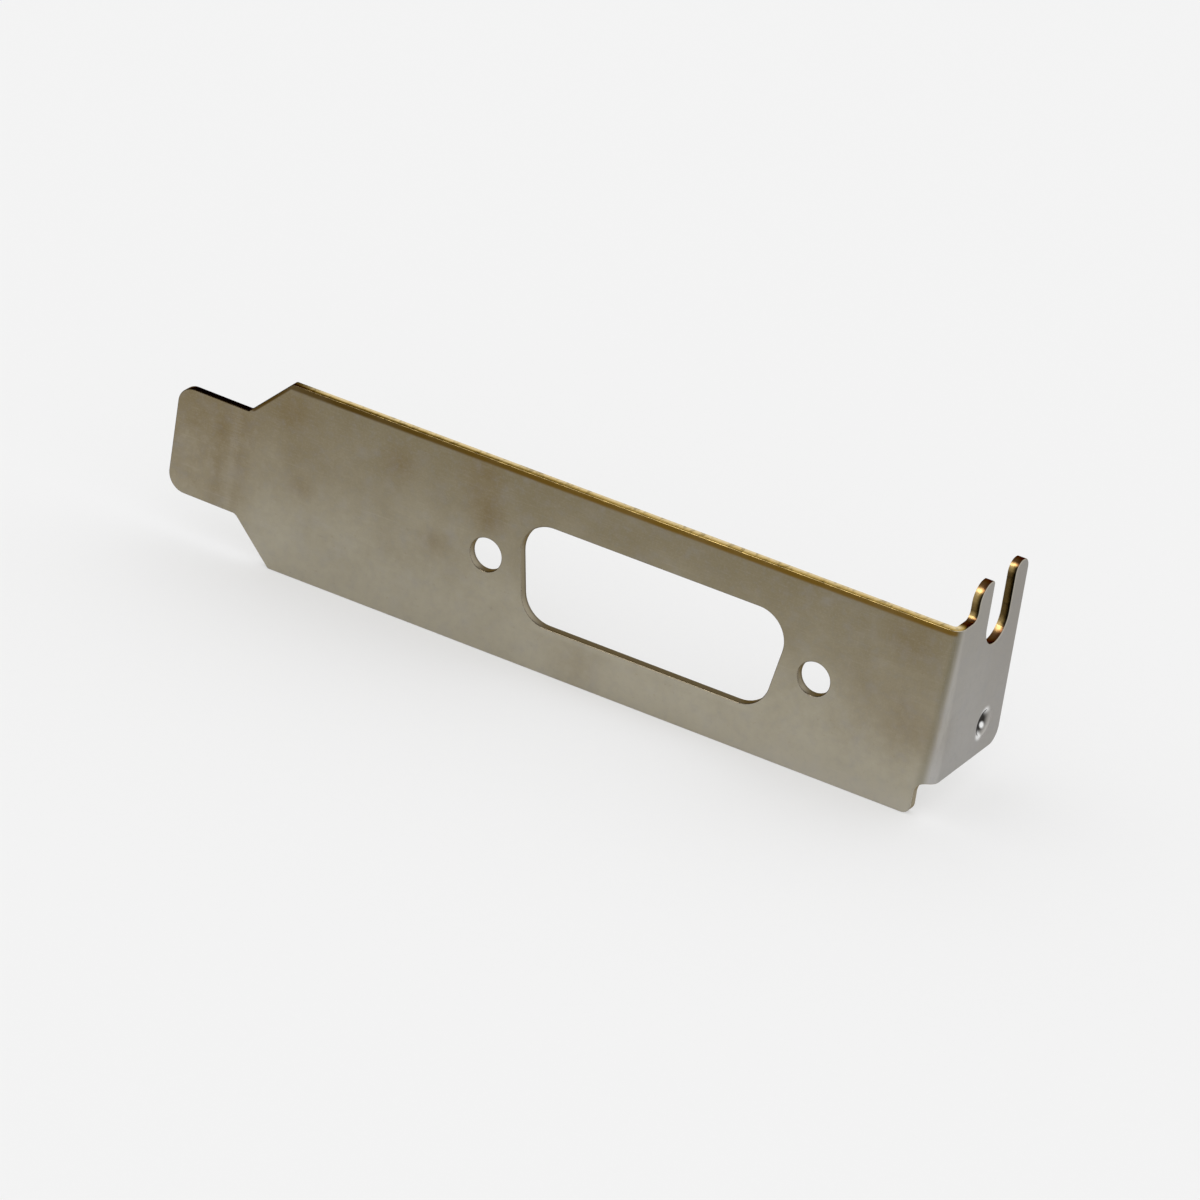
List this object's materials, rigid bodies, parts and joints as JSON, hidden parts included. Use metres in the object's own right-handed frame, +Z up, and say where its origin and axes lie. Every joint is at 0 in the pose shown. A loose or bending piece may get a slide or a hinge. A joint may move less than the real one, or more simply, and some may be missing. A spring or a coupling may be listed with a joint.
{
  "type": "low profile expansion card bracket",
  "caption": "Folded sheet steel bracket for a low profile card, with a tongue, a D-shaped connector opening with screw holes, and a tab with an open screw slot.",
  "frame": {"origin": "midway between the two connector screw holes, on the card side of the plate", "axes": "+X along the plate from the tongue to the tab; +Y through the plate to the side that the tab is folded to; +Z up the plate's width, the way the prongs point"},
  "size_m": [0.0792, 0.0124, 0.0216],
  "materials": {
    "plated_steel": "satin plated steel, lightly stained"
  },
  "bodies": {
    "root": {"bracket": "plated_steel"}
  },
  "joints": []
}
